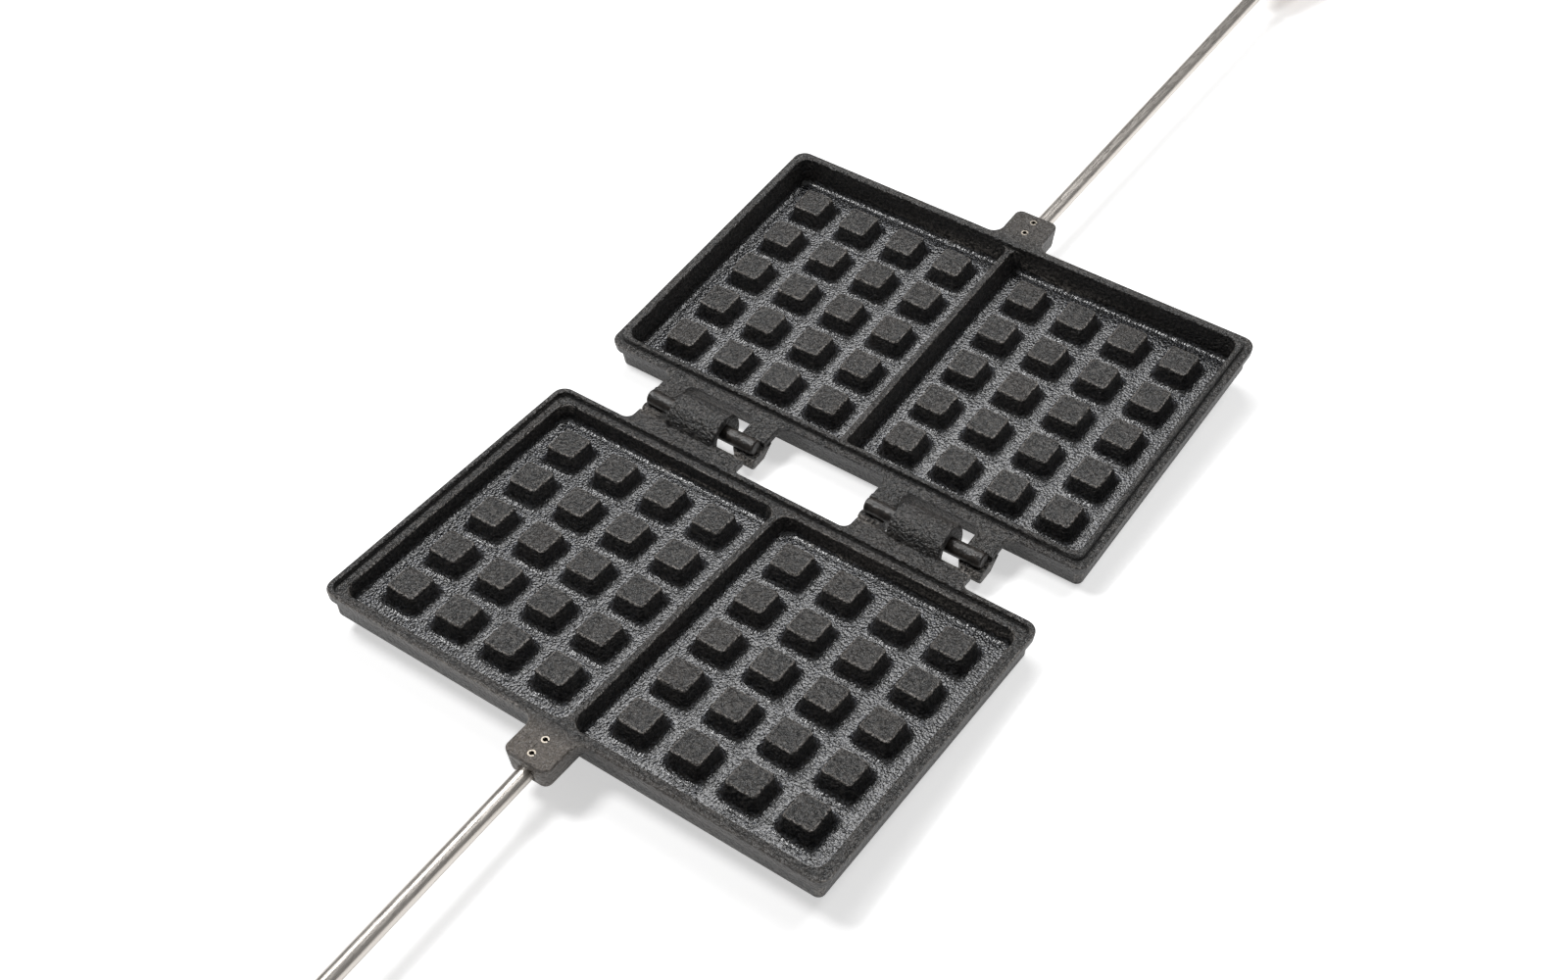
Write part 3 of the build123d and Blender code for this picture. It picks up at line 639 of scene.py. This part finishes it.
def keep_flats_flat(piece):
    """Weights the normals by face area, so that only the rounded edges are shaded round."""
    modifier = piece.modifiers.new("area_weighted_normals", "WEIGHTED_NORMAL")
    modifier.keep_sharp = True
    plain = piece.data
    graph = bpy.context.evaluated_depsgraph_get()
    piece.data = bpy.data.meshes.new_from_object(piece.evaluated_get(graph), depsgraph=graph)
    piece.modifiers.clear()
    bpy.data.meshes.remove(plain)
    piece.data.name = piece.name


def cut_and_plant(skin, name, peg_mesh):
    """Swaps the plain pegs of a welded plate for the cast ones, and paints it on the way."""
    floors = [f for f in skin.faces if all(on_floor(v.co) for v in f.verts)]
    bmesh.ops.delete(skin, geom=floors, context="FACES")
    bmesh.ops.delete(skin, geom=[v for v in skin.verts if in_a_peg(v.co)], context="VERTS")
    paint(skin, BOSS_BARE_AND_LIT[name])
    paint_shade_at_step_foot(skin, *STEPS[name])
    skin.from_mesh(peg_mesh)


def fill_floors(skin):
    """Fills the floors between the walls and the feet of the pegs, and counts the new faces."""
    brink = [e for e in skin.edges if e.is_boundary and all(on_floor(v.co) for v in e.verts)]
    for e in brink:
        for v in e.verts:
            v.co.z = CAVITY_FLOOR
    filled = bmesh.ops.triangle_fill(skin, edges=brink, normal=(0, 0, 1), use_beauty=True)["geom"]
    new_faces = [g for g in filled if isinstance(g, bmesh.types.BMFace)]
    for f in new_faces:
        if f.normal.z < 0:
            f.normal_flip()
    return len(new_faces)


def casting(name, body, upper, peg_mesh):
    """One finished casting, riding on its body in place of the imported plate."""
    to_table = half_frame(upper)
    skin = bmesh.new()
    for value in PAINTED:
        skin.verts.layers.float.new(value)
    skin.from_mesh(nodes[name].data)
    bmesh.ops.transform(skin, matrix=to_table.inverted(), verts=skin.verts)
    bmesh.ops.remove_doubles(skin, verts=skin.verts, dist=WELD)
    cut_and_plant(skin, name, peg_mesh)
    floor_faces = fill_floors(skin)
    open_edges = sum(1 for e in skin.edges if not e.is_manifold)
    bmesh.ops.transform(skin, matrix=to_table, verts=skin.verts)
    mesh = bpy.data.meshes.new(name.replace("plate", "casting"))
    skin.to_mesh(mesh)
    skin.free()
    mesh.materials.clear()
    mesh.materials.append(iron)
    mesh.polygons.foreach_set("material_index", [0] * len(mesh.polygons))
    mesh.shade_smooth()
    mesh.set_sharp_from_angle(angle=SHARP_ANGLE)
    piece = place_object(mesh.name, mesh)
    keep_flats_flat(piece)
    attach(piece, body)
    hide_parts(name)
    print(piece.name, len(piece.data.polygons), "faces, of which floor", floor_faces,
          "; open edges", open_edges)


casting("lower_plate", "lower_half", False, lower_pegs)
casting("upper_plate", "upper_half", True, upper_pegs)
bpy.data.objects.remove(peg_pattern)

# %% [markdown]
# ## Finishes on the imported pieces
#
# The rods, pins, bars, ferrules, washers, nuts and grips already have their real shapes, so each only gets
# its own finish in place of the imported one.

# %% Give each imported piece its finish
def finish_with(material, *names):
    """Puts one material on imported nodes."""
    for name in names:
        mesh = nodes[name].data
        mesh.materials.clear()
        mesh.materials.append(material)


for half in ("lower", "upper"):
    finish_with(rod_steel[half], half + "_handle_rod")
    finish_with(spring_steel, half + "_inner_roll_pin", half + "_outer_roll_pin")
    finish_with(nickel, half + "_ferrule", half + "_end_washer", half + "_cap_nut")
    finish_with(beech[half], half + "_grip")
finish_with(bar_steel, "left_hinge_bar", "right_hinge_bar")
print("finished:", sum(1 for n in nodes.values() if n.data.materials))

# %% [markdown]
# ## The table and the room
#
# A black object on white is lit mostly by what it reflects. The table and the room look white to the eye,
# and both are dimmer for the other rays, so that black iron stays black. The table's own glow is weaker
# near the iron, where it has to leave room for the shadow, and full further out, where the picture is plain
# white.

# %% Table and room
TABLE_REACH = 6.0             # metres
TABLE_SHADE = "#e6e6e6"
GLOW_STARTS, GLOW_FULL = 0.7, 2.5   # metres from the iron
GLOW_NEAR = 0.55
ROOM_IN_METAL = 0.28          # how bright the room is in a reflection
ROOM_LIGHT = 0.1              # and for everything else


def glowing_white(name):
    """A matt white whose glow only the eye and reflections see, and which grows away from the iron."""
    white, tree = new_material(name)
    ray = add(tree, "ShaderNodeLightPath").outputs
    seen = maths(tree, "ADD", ray["Is Camera Ray"], ray["Is Glossy Ray"])
    seen = maths(tree, "MAXIMUM", seen, ray["Is Transmission Ray"])
    away = add(tree, "ShaderNodeVectorMath", {0: object_place(tree)},
               operation="LENGTH").outputs["Value"]
    glow = spread(tree, away, GLOW_STARTS, GLOW_FULL, GLOW_NEAR, 1.0)
    power = maths(tree, "MULTIPLY", seen, glow)
    matt = add(tree, "ShaderNodeBsdfDiffuse", {"Color": colour(TABLE_SHADE)}).outputs[0]
    bright = add(tree, "ShaderNodeEmission",
                 {"Color": colour("#ffffff"), "Strength": power}).outputs[0]
    both = add(tree, "ShaderNodeAddShader", {0: matt, 1: bright}).outputs[0]
    add(tree, "ShaderNodeOutputMaterial", {"Surface": both})
    return white


def table_top(reach):
    """A flat white square on the ground."""
    mesh = bpy.data.meshes.new("table_top")
    mesh.from_pydata([(-reach, -reach, 0), (reach, -reach, 0), (reach, reach, 0),
                      (-reach, reach, 0)], [], [(0, 1, 2, 3)])
    mesh.materials.append(glowing_white("white_table"))
    place_object("table_top", mesh)


def white_room():
    """A world that the eye sees as white, that metal sees dimmer, and that lights the iron a little."""
    room = bpy.data.worlds.new("white_room")
    room.use_nodes = True
    tree = room.node_tree
    tree.nodes.clear()
    ray = add(tree, "ShaderNodeLightPath").outputs
    seen = maths(tree, "MULTIPLY", ray["Is Glossy Ray"], ROOM_IN_METAL)
    seen = maths(tree, "MAXIMUM", ray["Is Camera Ray"], seen)
    seen = maths(tree, "MAXIMUM", ray["Is Transmission Ray"], seen)
    power = maths(tree, "MAXIMUM", seen, ROOM_LIGHT)
    sky = add(tree, "ShaderNodeBackground",
              {"Color": colour("#ffffff"), "Strength": power}).outputs[0]
    add(tree, "ShaderNodeOutputWorld", {"Surface": sky})
    return room


table_top(TABLE_REACH)
bpy.context.scene.world = white_room()
print("table and room are white; the table reaches", TABLE_REACH, "m each way")

# %% [markdown]
# ## The lamps
#
# A broad soft lamp stands behind the iron and above it, so its light glances off the level surfaces towards
# the eye and leaves the sides of the pegs in their own shade. Two small lamps, one at each side, catch the
# feet of the walls and the edges of the pegs, and give the rods their bright bands. Together they light a
# level card to about its own colour.

# %% Lamps
# name, place in metres, side of the square, watts
LAMPS = (("back_lamp", (-0.46, 0.62, 1.32), 0.7, 11.0),
         ("left_lamp", (-0.60, -0.26, 1.28), 0.35, 10.0),
         ("right_lamp", (0.46, 0.72, 1.16), 0.35, 4.5))


def soft_lamp(name, place, size, watts):
    """A square soft lamp aimed at the middle of the iron."""
    lamp = bpy.data.lights.new(name, "AREA")
    lamp.shape = "SQUARE"
    lamp.size = size
    lamp.energy = watts
    holder = place_object(name, lamp)
    holder.location = place
    holder.rotation_mode = "QUATERNION"
    holder.rotation_quaternion = (-Vector(place)).to_track_quat("-Z", "Y")


for lamp in LAMPS:
    soft_lamp(*lamp)
print("lamps:", [lamp[0] for lamp in LAMPS])

# %% [markdown]
# ## The camera
#
# The eye is above the iron and in front of its right side, looking down at 47 degrees, with a normal lens.
# The camera rolls a little over two degrees. Its three axes are worked out from those angles.

# %% Camera
AZIMUTH = 37.092              # degrees
ELEVATION = 47.428
ROLL = -2.366
LENS = 48.41                  # millimetres, on a film 36 mm wide
EYE = Vector((349.8, -481.5, 653.9)) * MM

az, el, roll = (math.radians(a) for a in (AZIMUTH, ELEVATION, ROLL))
back = Vector((math.sin(az) * math.cos(el), -math.cos(az) * math.cos(el), math.sin(el)))
right = Vector((math.cos(az), math.sin(az), 0.0))
up = back.cross(right)
side = math.cos(roll) * right + math.sin(roll) * up
head = -math.sin(roll) * right + math.cos(roll) * up
camera = place_object("camera", bpy.data.cameras.new("camera"))
camera.data.sensor_fit = "HORIZONTAL"
camera.data.sensor_width = 36.0
camera.data.lens = LENS
camera.data.clip_start = 0.05
camera.data.clip_end = 50.0
camera.matrix_world = Matrix.Translation(EYE) @ Matrix((side, head, back)).transposed().to_4x4()
bpy.context.scene.camera = camera
bpy.context.scene.view_settings.view_transform = "Standard"
print("camera at", [round(c, 3) for c in EYE])
